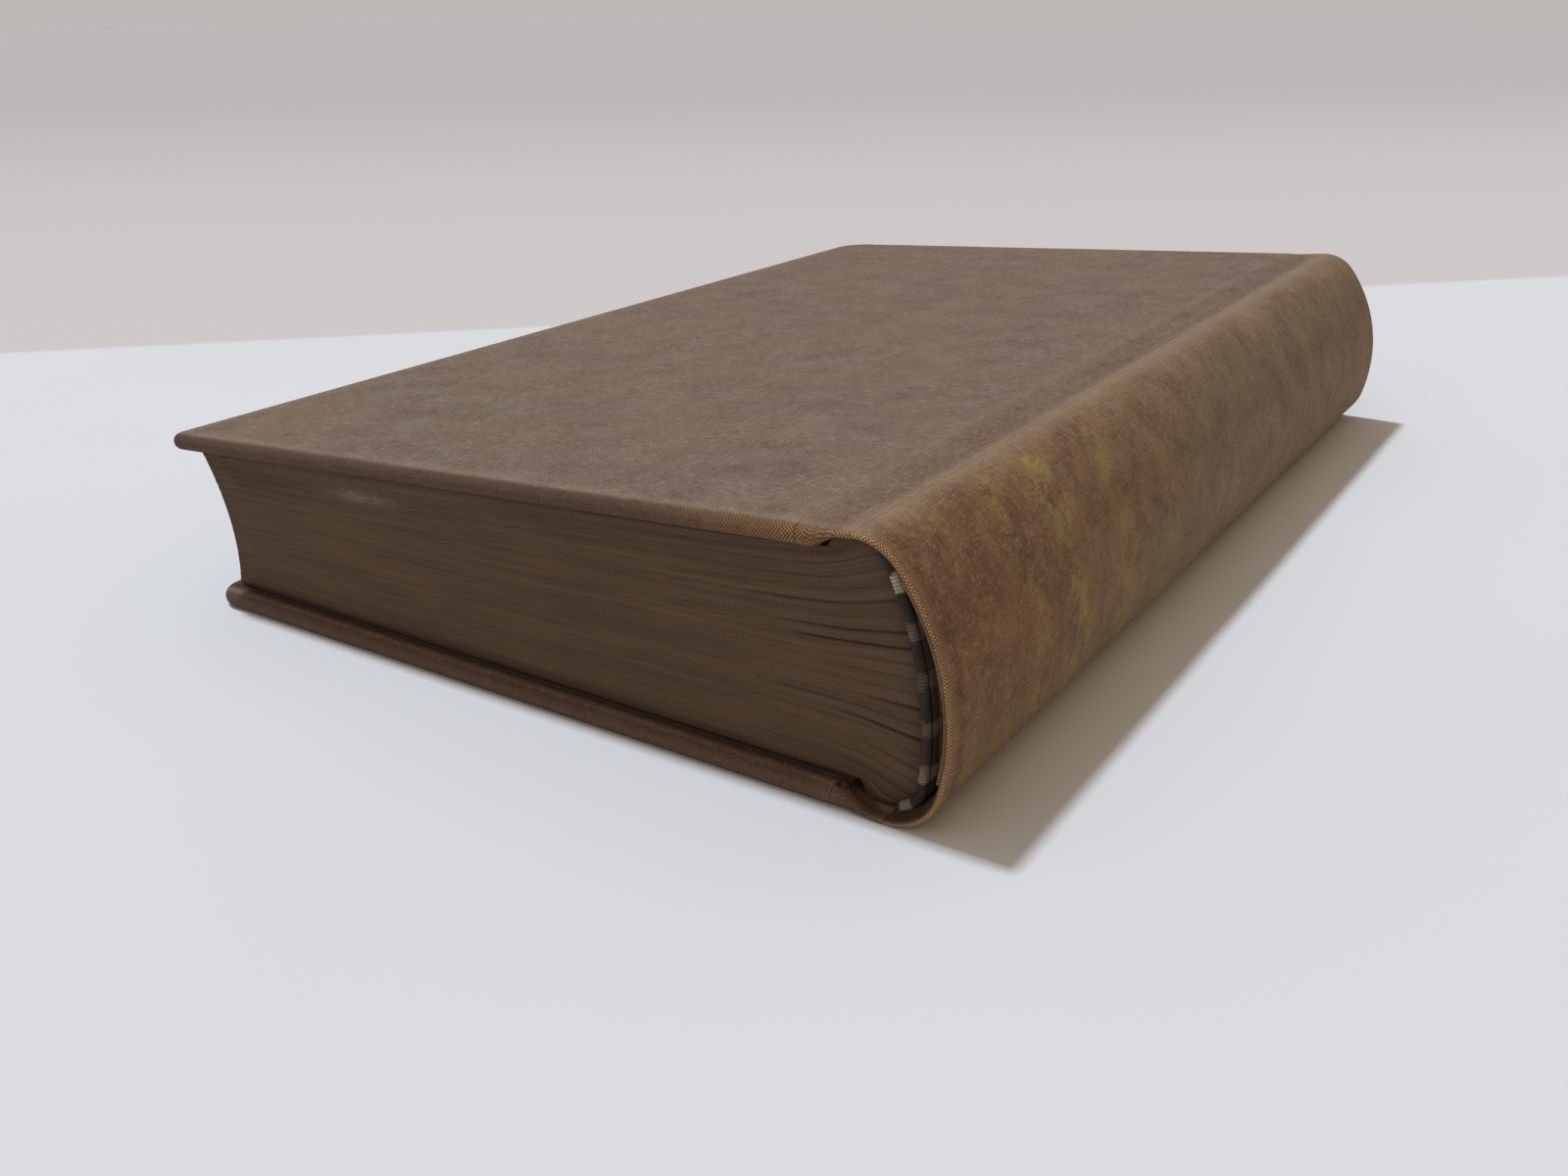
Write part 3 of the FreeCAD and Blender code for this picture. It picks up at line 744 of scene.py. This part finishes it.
def spine_case_cloth():
    """Cloth round the spine, its ends turned in over the inlay as a rounded lip."""
    outer, way, arc = CASE.line(*SPINE_STEPS)
    s = arc[:, None]
    side = np.minimum(s, SPINE_ARC - s)
    t = across_columns()[None, :]
    body = ease((side - 0.2) / 3.2)
    lip = LIP_THICKNESS + 0.05 * body
    radius = lip / 2
    wall = np.linspace(0, math.pi, WALL_COLUMNS)[None, :]
    reach = HALF - radius * (1 - np.sin(wall))
    wall_depth = radius * (1 - np.cos(wall))
    y_flat = t * (HALF - radius)
    from_end = HALF - np.abs(y_flat)
    turned = ease((SPINE_TURN_IN + 0.3 - from_end) / 0.6)
    settle = ease(from_end / 3.0)
    thick_end = lip + (CASE_STACK - lip) * settle * body
    thick_mid = CLOTH + 0.65 * body
    inside_end = ease((from_end - SQUARE + 0.6) / 0.5)
    ridge_only = LIP_THICKNESS + (CLOTH - LIP_THICKNESS) * inside_end
    inner = turned * thick_end + (1 - turned) * thick_mid
    inner = body * inner + (1 - body) * ridge_only
    y = np.concatenate([y_flat, reach[:, 1:-1], y_flat[:, ::-1], -reach[:, 1:-1]], axis=1)
    depth = np.concatenate([np.zeros(y_flat.shape), wall_depth[:, 1:-1], inner[:, ::-1],
                            wall_depth[:, ::-1][:, 1:-1]], axis=1)
    dent = 0.06 * ripple(21, 45, s + 0 * y, y) * ease((side - 1) / 4)
    at = outer[:, None, :] - way[:, None, :] * (depth + np.abs(dent))[..., None]
    points = np.stack([at[..., 0], y, at[..., 1]], axis=-1) * MM
    middle = t.size // 2
    walk = run_length(points)
    v = walk - walk[:, middle:middle + 1]
    uv = np.stack([np.broadcast_to(RIDGE_U + s, y.shape), v], axis=-1)
    end_wear = np.clip(1 - (HALF - np.abs(y)) / 4.0, 0, 1) ** 1.2
    ridge_wear = 0.75 * np.exp(-(side / 2.6) ** 2)
    inside = ease((depth - 0.3) / 0.3)
    # rim and gap are painted shade on the inner side of the spine cloth
    marks = {"wear": np.clip(0.4 * end_wear * (1 - inside) + ridge_wear, 0, 1),
             "tip": ease((1.1 - (HALF - np.abs(y))) / 0.9) * (1 - inside),
             "rim": inside,
             "gap": 0.75 * ease((depth - 0.5) / 0.3),
             "spine": np.broadcast_to(0.5 + 0.5 * ease((side - 0.5) / 3.5), y.shape)}
    piece = loft("spine_case_cloth", BOOKCLOTH, points, uv, marks)
    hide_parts("spine_cloth")
    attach(piece, "text_block")


# Endpapers

FOLD_TO_HINGE = 1.85
FOLD_GAP = 0.475


def endpaper_piece(cover):
    """Pasted-down leaf, its fold at the joint and the free leaf, as one folded sheet.

    The fold has a row of points at each of its two corners and none between them, so that it is one straight
    strip.
    """
    edge = PAPER / 2
    fold_u = COVER_REACH - FOLD_TO_HINGE
    free_depth = LEAF_DEPTH + edge
    pasted = stations((SQUARE, TURN_IN - 1.0, 5), (TURN_IN - 1.0, TURN_IN + 0.8, 6),
                      (TURN_IN + 0.8, FLAP_START - 0.6, 24),
                      (FLAP_START - 0.6, FLAP_START + 0.4, 5), (FLAP_START + 0.4, fold_u - 0.15, 12))
    free = stations((SQUARE, fold_u - 0.15, 40))[::-1]
    u = np.concatenate([pasted, [fold_u, fold_u], free])
    base = np.concatenate([np.full(len(pasted), np.nan), [free_depth - FOLD_GAP, free_depth],
                           np.full(len(free), free_depth)])
    half = stations((0, FLAP_HALF - 0.5, 15), (FLAP_HALF - 0.5, FLAP_HALF + 0.7, 4),
                    (FLAP_HALF + 0.7, WINDOW_HALF - 0.7, 6), (WINDOW_HALF - 0.7, WINDOW_HALF + 0.9, 5),
                    (WINDOW_HALF + 0.9, BLOCK_HALF - 0.6, 6), (BLOCK_HALF - 0.6, BLOCK_HALF, 2))
    y = np.concatenate([-half[:0:-1], half])
    uu, yy = np.meshgrid(u, y, indexing="ij")
    window = ease((uu - TURN_IN + 0.4) / 0.8) * ease((WINDOW_HALF + 0.4 - np.abs(yy)) / 0.8)
    flap = ease((uu - FLAP_START + 0.3) / 0.6) * ease((FLAP_HALF + 0.45 - np.abs(yy)) / 0.6)
    pasted_depth = COVER_THICKNESS + edge - CLOTH * window + FLAP * flap * window
    joined = ease((uu - BOARD_BACK_EDGE + 0.6) / 1.6)
    pasted_depth = pasted_depth * (1 - joined) + (free_depth - FOLD_GAP) * joined
    depth = np.where(np.isnan(base)[:, None], pasted_depth, base[:, None])
    wave = 0.02 * ripple(31, 50, uu, yy)
    depth = depth + np.where(np.isnan(base)[:, None], wave * window, 0)
    middle = np.stack([uu, depth], axis=-1)
    tangent = unit(np.gradient(middle, axis=0))
    normal = np.stack([-tangent[..., 1], tangent[..., 0]], axis=-1)
    faces = [middle + side * edge * normal for side in (-1, 1)]
    loops = both_faces(*(cover.points(face[..., 0], yy, face[..., 1]) for face in faces))
    uv = np.stack([both_faces(uu, uu), both_faces(yy, yy)], axis=-1)
    border = np.clip(1 - np.minimum(BLOCK_HALF - np.abs(yy), uu - SQUARE) / 12, 0, 1) ** 2
    # Painted shade on the sheet's rims at the head, the tail and the fore edge
    outside = ((np.abs(yy) > BLOCK_HALF - 0.35) | (uu < SQUARE + 0.1)) * 1.0
    marks = {"edge": both_faces(border, border), "rim": both_faces(outside, outside)}
    piece = loft(cover.side + "_endpaper", ENDPAPER, loops, uv, marks)
    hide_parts(cover.side + "_pasted_leaf", cover.side + "_free_leaf")
    cover.at(fold_u, COVER_THICKNESS + PAPER)
    cover.at(fold_u, LEAF_DEPTH)
    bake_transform(piece)


# Text block

LEAF_ROWS = 300

# Where the leaves begin to spread into the shoulders and to fan out to the round back
SPLAY_FROM = 105.5
FAN_FROM = 86.0

# Share of the way from the middle leaf past which leaves bend as sharply as the shoulder does
OUTERMOST = 0.78

# What the share through the block stands for in its map
MAP_THICKNESS = SPINE_THICKNESS - 2


def page_block():
    """All leaves: head, tail and fore edge trimmed unevenly row by row, back in section folds.

    A point has a from 0 at the back cover to 1 at the front cover and v from 0 at the fore edge to 1
    at the back. Its height is between the block's two sides at v, and its x goes from the hollow
    arc of the fore edge to the round back.
    """
    shoulder = SHELF_START - SHOULDER_RUN
    side_u = stations((SQUARE, 88.0, 20), (88.0, shoulder, 30), (shoulder, SHELF_START, 6),
                      (SHELF_START, RIDGE_U, 8))
    v = (side_u - SQUARE) / LEAF_LENGTH
    low = back_section(side_u, BLOCK_DEPTH)
    high = front_section(side_u, BLOCK_DEPTH)
    a = np.linspace(0, 1, LEAF_ROWS + 1)
    aa, vv = np.meshgrid(a, v, indexing="ij")
    out = 2 * aa - 1
    sharp = np.clip((side_u - shoulder) / SHOULDER_RUN, 0, 1)[None, :]
    soft = ease((side_u - SPLAY_FROM) / (RIDGE_U - SPLAY_FROM))[None, :]
    outermost = np.clip((np.abs(out) - OUTERMOST) / (1 - OUTERMOST), 0, 1)
    splay = (BLOCK_DEPTH - SHELF_DEPTH) * out * (soft + (sharp - soft) * outermost)
    x = low[None, :, 0] * (1 - aa) + high[None, :, 0] * aa - splay * np.sin(SLOPE * aa)
    z = low[None, :, 1] * (1 - aa) + high[None, :, 1] * aa + splay * np.cos(SLOPE * aa)
    round_line, _, walk = BLOCK.line(30, 200)
    back_x = np.interp(a, 1 - walk[::-1] / walk[-1], round_line[::-1, 0])
    back_z = np.interp(a, 1 - walk[::-1] / walk[-1], round_line[::-1, 1])
    hollow = FORE_EDGE_HOLLOW * 4 * a[:, None] * (1 - a[:, None])
    x = x + hollow * (1 - vv) + (back_x[:, None] - x[:, -1:]) * vv
    fan = np.clip((side_u - FAN_FROM) / (RIDGE_U - FAN_FROM), 0, 1)[None, :] ** 2.2
    z = z + (back_z[:, None] - z[:, -1:]) * fan
    z = z + 0.14 * ripple(9, 9, vv * LEAF_LENGTH, aa * 32) * fan * (1 - out ** 2)
    rng = np.random.default_rng(5)
    row = rng.uniform(0, 1, LEAF_ROWS + 1) ** 2
    section = (a * SECTION_COUNT) % 1
    nearest = np.round(a * SECTION_COUNT).astype(int)
    depth = rng.uniform(0.3, 1.0, SECTION_COUNT + 1)[nearest] * (0.35 + 0.65 * ease((0.85 - a) / 0.3))
    start = rng.uniform(90, 107, SECTION_COUNT + 1)[nearest]
    valley = np.exp(-(np.minimum(section, 1 - section) / 0.08) ** 2)
    opening = (valley * depth)[:, None] * ease((side_u[None, :] - start[:, None]) / 9)
    row_fore = rng.uniform(0, 1, LEAF_ROWS + 1) ** 1.5
    for part in (row, valley, row_fore):
        part[0] = part[-1] = 0

    def end_relief(seed):
        """How far each leaf's end stops short of the block's, with the gaps between the sections."""
        wave = 0.5 + 0.5 * ripple(seed, 30, vv * LEAF_LENGTH, aa * 40)
        leaves = (0.04 + 0.06 * ease((aa - 0.7) / 0.2)) * row[:, None] * wave
        groove = 0.03 * valley[:, None] + 0.35 * opening
        return (leaves + groove) * ease(aa * LEAF_ROWS / 3) * ease((1 - aa) * LEAF_ROWS / 3)

    y_cols = stations((-BLOCK_HALF, BLOCK_HALF, 46))
    folds = FOLD_DEPTH * valley[:, None] * np.ones((1, len(y_cols)))
    fore = 0.14 * row_fore[:, None] * (0.6 + 0.4 * ripple(8, 60, a[:, None] * 30, y_cols[None, :] * 1.0))
    x[:, 0] += fore[:, 0]
    skin = Skin()
    along = vv * LEAF_LENGTH
    grids = []
    for end, seed in ((-1, 41), (1, 42)):
        y = end * (BLOCK_HALF - end_relief(seed))
        x_end = x.copy()
        x_end[:, 0] = x[:, 0] - fore[:, 0] + fore[:, 0 if end < 0 else -1]
        x_end[:, -1] -= folds[:, 0]
        grid = np.stack([x_end, y, z], axis=-1) * MM
        # Painted shade: a wedge along the leaves next to the back cover, a line under the front cover, the
        # openings between the sections and the last stretch towards the back
        wedge = np.exp(-(aa / 0.035) ** 2) * (0.75 - 0.45 * vv) + 0.5 * np.exp(-((1 - aa) / 0.012) ** 2)
        dark = np.clip(0.85 * opening + wedge + 0.5 * ease((vv - 0.965) / 0.04), 0, 1)
        first_leaves = ease((aa - 0.9) / 0.04) * ease((0.985 - aa) / 0.02) * ease((0.6 - vv) / 0.4)
        smudge = np.exp(-((along - 31) / 5) ** 2 - ((aa - 0.86) / 0.035) ** 2)
        dust = np.clip(0.3 * first_leaves * row[:, None] + 0.5 * smudge * (end < 0), 0, 1)
        skin.patch(grid, np.stack([along, aa * MAP_THICKNESS], axis=-1), {"dark": dark, "dust": dust})
        grids.append(grid)
    head, tail = grids
    for column, amount in ((0, fore), (-1, -folds)):
        base = x[:, column] - (fore[:, 0] if column == 0 else 0)
        y_grid = np.broadcast_to(y_cols[None, :], amount.shape).copy()
        y_grid[:, 0] = head[:, column, 1] / MM
        y_grid[:, -1] = tail[:, column, 1] / MM
        grid = np.stack([base[:, None] + amount, y_grid, np.broadcast_to(z[:, column:][:, :1], amount.shape)],
                        axis=-1) * MM
        uv = np.stack([y_grid, np.broadcast_to(a[:, None] * MAP_THICKNESS, amount.shape)], axis=-1)
        # The back of the block gets half of the painted shade, the fore edge none
        skin.patch(grid, uv, {"dark": np.full(amount.shape, 0.0 if column == 0 else 0.5)})
    share = ((y_cols + BLOCK_HALF) / (2 * BLOCK_HALF))[None, :, None]
    for edge in (0, -1):
        grid = head[edge][:, None, :] * (1 - share) + tail[edge][:, None, :] * share
        uv = np.stack(np.broadcast_arrays(along[edge][:, None], y_cols[None, :]), axis=-1)
        skin.patch(grid, uv)
    piece = skin.build("page_block", PAGE_EDGES, merge=2e-6)
    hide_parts("text_block")
    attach(piece, "text_block")


# Endbands

BAND_RADIUS = 0.68
BAND_OFFSET = 0.5
BAND_MAP = 0.8


def endband_threads(name, node, end):
    """Bead round the back's end: a circle carried along the arc, ridged once per thread, and its tongue."""
    line, ways, walk = BLOCK.line(40, 120)
    s0, s1 = 2.4, walk[-1] - 0.8
    threads = int((s1 - s0) / THREAD_PITCH)
    s = np.linspace(s0, s1, threads * 6 + 1)[:, None]
    at = np.stack([np.interp(s[:, 0], walk, line[:, i]) for i in range(2)], axis=-1)
    way = unit(np.stack([np.interp(s[:, 0], walk, ways[:, i]) for i in range(2)], axis=-1))
    around = np.linspace(0, TAU, 19)[:-1][None, :]
    ridge = np.abs(np.sin(math.pi * (s / THREAD_PITCH + 0.2 * np.sin(around))))
    wobble = 1 + 0.07 * ripple(51, 4, s + 0 * around, 0 * s + around)
    r = BAND_RADIUS * wobble * (0.86 + 0.14 * ridge)
    out = -BAND_OFFSET + r * np.cos(around)
    y = end * (BLOCK_HALF + BAND_OFFSET + r * np.sin(around))
    points = np.stack([at[:, :1] + out * way[:, :1], y, at[:, 1:] + out * way[:, 1:]], axis=-1) * MM
    uv = np.stack(np.broadcast_arrays(s, around * BAND_MAP), axis=-1)
    skin = Skin()
    wrapped = np.concatenate([points, points[:, :1]], axis=1)
    last = uv[:, :1] + np.array([0, TAU * BAND_MAP])
    skin.patch(wrapped, np.concatenate([uv, last], axis=1))
    close_ends(skin, points, uv)
    rows = slice(60, -60, 12)
    near, far = BLOCK_HALF + 0.3, BLOCK_HALF - TONGUE_LENGTH
    loop_y = end * np.array([near, far, far, near])[None, :]
    rise = np.array([0.28, 0.28, 0.02, 0.02])[None, :]
    band = np.stack([at[rows, :1] + rise * way[rows, :1], loop_y + 0 * at[rows, :1],
                     at[rows, 1:] + rise * way[rows, 1:]], axis=-1) * MM
    band_uv = np.stack(np.broadcast_arrays(s[rows], loop_y), axis=-1)
    skin.patch(np.concatenate([band, band[:, :1]], axis=1),
               np.concatenate([band_uv, band_uv[:, :1]], axis=1))
    close_ends(skin, band, band_uv)
    piece = skin.build(name, ENDBAND)
    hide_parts(node)
    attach(piece, "text_block")


FRONT_CORNERS = (2.0, 6.5)
BACK_CORNERS = (4.5, 3.0)
case_cloth(FRONT, FRONT_CORNERS, 11)
case_cloth(BACK, BACK_CORNERS, 12)
cover_board(FRONT, FRONT_CORNERS)
cover_board(BACK, BACK_CORNERS)
spine_case_cloth()
endpaper_piece(FRONT)
endpaper_piece(BACK)
page_block()
endband_threads("headband_threads", "headband", -1)
endband_threads("tailband_threads", "tailband", 1)

for node, material in (("front_hinge_flap", OPEN_WEAVE), ("back_hinge_flap", OPEN_WEAVE),
                       ("spine_mull", OPEN_WEAVE), ("spine_lining", LINING_PAPER),
                       ("spine_inlay", LINING_PAPER)):
    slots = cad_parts[node].material_slots
    for index in range(len(slots)):
        slots[index].material = material


# Floor, wall and light

WALL_OFFSET = 214.0


def table_and_wall():
    """Large pale floor whose part behind the photograph's wall line is painted a warmer grey."""
    mesh = bpy.data.meshes.new("floor")
    mesh.from_pydata([(-3, -2, 0), (3, -2, 0), (3, 3, 0), (-3, 3, 0)], [], [(0, 1, 2, 3)])
    plane = bpy.data.objects.new("floor", mesh)
    bpy.context.scene.collection.objects.link(plane)
    f = Finish("floor_paint", roughness=0.9, specular=0.1)
    x, y, z = f.place()
    cloud = f.noise(0.006, 2, x, y, z)
    behind = (y - x - WALL_OFFSET) * math.sqrt(0.5)
    table = f.mix(cloud * 0.25, rgb(223, 225, 227), rgb(192, 191, 188))
    wall = f.mix(behind.step(0.0, 900.0), rgb(206, 201, 198), rgb(188, 183, 180))
    mesh.materials.append(f.finish(f.mix(behind.step(-1.0, 3.0), table, wall)))


table_and_wall()

def studio_world():
    """Light that turns from white at -X to warm at +X, behind an even grey for camera and mirrors."""
    world = bpy.data.worlds.new("studio")
    bpy.context.scene.world = world
    world.use_nodes = True
    n = Nodes(world.node_tree)
    where = n.node("TexCoord", {}, {}, "Generated")
    across = n.node("SeparateXYZ", {}, {0: where})
    sideways = n.node("MapRange", {}, {0: across, "From Min": -0.35, "From Max": 0.45})
    sky = n.mix(sideways, (0.93, 0.93, 0.93, 1.0), (0.76, 0.52, 0.32, 1.0))
    light = n.node("Background", {}, {0: sky, 1: 0.42})
    shown = n.node("Background", {}, {0: rgb(189, 184, 182)})
    rays = n.node("LightPath", {}, {}).socket.node.outputs
    camera, glossy, through = (Value(n, rays["Is " + kind + " Ray"])
                               for kind in ("Camera", "Glossy", "Transmission"))
    seen = camera.math("MAXIMUM", glossy).math("MAXIMUM", through)
    output = n.tree.nodes.new("ShaderNodeOutputWorld")
    n.feed(output.inputs[0], n.node("MixShader", {}, {0: seen, 1: light, 2: shown}))


studio_world()


def soft_sun(name, strength, spread, azimuth, elevation, colour):
    """Distant lamp, seen from the book at an azimuth and elevation, as a disc of a spread. All in degrees."""
    data = bpy.data.lights.new(name, "SUN")
    data.energy = strength
    data.angle = math.radians(spread)
    data.color = colour
    lamp = bpy.data.objects.new(name, data)
    a, e = math.radians(azimuth), math.radians(elevation)
    towards = np.array([math.cos(a) * math.cos(e), math.sin(a) * math.cos(e), math.sin(e)])
    side = unit(np.cross([0, 0, 1.0], towards))
    up = np.cross(towards, side)
    lamp.matrix_world = Matrix([[side[i], up[i], towards[i], 0.5 * towards[i]] for i in range(3)] +
                               [[0, 0, 0, 1]])
    bpy.context.scene.collection.objects.link(lamp)


soft_sun("window_light", 2.38, 4.5, 177, 66, (0.81, 0.89, 1.0))
soft_sun("room_light", 0.44, 70, -80, 36, (1.0, 0.90, 0.76))


# Camera at the photograph's viewpoint
FOCAL_PIXELS = 1458.47
FRAME_PIXELS = 1600
AZIMUTH, ELEVATION, ROLL = (math.radians(angle) for angle in (32.9462, 22.8954, 0.2172))
EYE = (120.137, -216.491, 85.375)


def photo_camera():
    """Camera looking down its forward axis; right and down are turned about it by the roll."""
    ca, sa, ce, se = math.cos(AZIMUTH), math.sin(AZIMUTH), math.cos(ELEVATION), math.sin(ELEVATION)
    forward = np.array([-sa * ce, ca * ce, -se])
    level = unit(np.cross(forward, [0, 0, 1.0]))
    drop = np.cross(forward, level)
    right = level * math.cos(ROLL) + drop * math.sin(ROLL)
    down = drop * math.cos(ROLL) - level * math.sin(ROLL)
    data = bpy.data.cameras.new("photo_camera")
    data.sensor_width = 36.0
    data.lens = FOCAL_PIXELS / FRAME_PIXELS * data.sensor_width
    data.clip_start = 0.01
    data.clip_end = 20.0
    camera = bpy.data.objects.new("photo_camera", data)
    camera.matrix_world = Matrix([[right[i], -down[i], -forward[i], EYE[i] * MM] for i in range(3)] +
                                 [[0, 0, 0, 1]])
    bpy.context.scene.collection.objects.link(camera)
    bpy.context.scene.camera = camera


photo_camera()
bpy.context.scene.view_settings.view_transform = "Standard"
